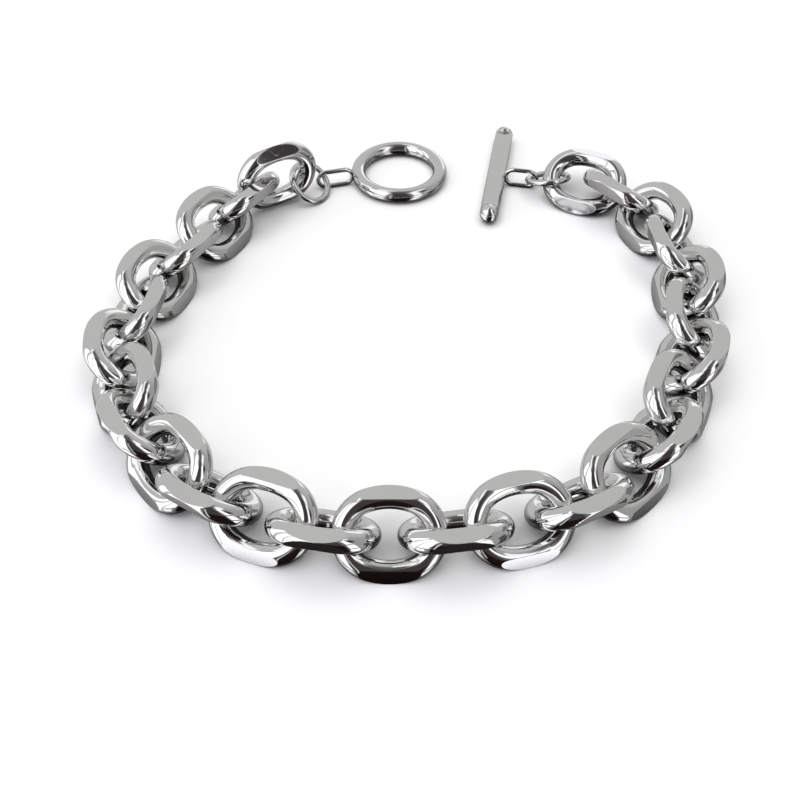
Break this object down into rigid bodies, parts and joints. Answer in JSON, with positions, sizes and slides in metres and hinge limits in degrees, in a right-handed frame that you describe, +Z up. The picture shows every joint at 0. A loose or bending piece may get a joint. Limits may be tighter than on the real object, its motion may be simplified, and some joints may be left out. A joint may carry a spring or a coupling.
{
  "type": "link bracelet",
  "caption": "Heavy cable chain bracelet of diamond cut oval links, lying open on a flat surface, with an undone toggle clasp of a plain ring and a bar on small jump rings.",
  "frame": {"origin": "on the table under the middle of the bracelet's outline as it lies", "axes": "+Z up from the table; +Y towards the clasp, across the bracelet; +X from the toggle ring's end to the bar's end"},
  "size_m": [0.0724, 0.0754, 0.0094],
  "materials": {
    "link_steel": "polished stainless steel",
    "clasp_steel": "polished stainless steel"
  },
  "bodies": {
    "root": {"link_01": "link_steel", "link_02": "link_steel", "link_03": "link_steel", "link_04": "link_steel", "link_05": "link_steel", "link_06": "link_steel", "link_07": "link_steel", "link_08": "link_steel", "link_09": "link_steel", "link_10": "link_steel", "link_11": "link_steel", "link_12": "link_steel", "link_13": "link_steel", "link_14": "link_steel", "link_15": "link_steel", "link_16": "link_steel", "link_17": "link_steel", "link_18": "link_steel", "link_19": "link_steel", "link_20": "link_steel", "link_21": "link_steel", "link_22": "link_steel", "link_23": "link_steel", "link_24": "link_steel", "link_25": "link_steel", "link_26": "link_steel", "link_27": "link_steel", "toggle_ring": "clasp_steel", "ring_jump_ring": "clasp_steel", "toggle_bar": "clasp_steel", "bar_jump_ring": "clasp_steel"}
  },
  "joints": []
}
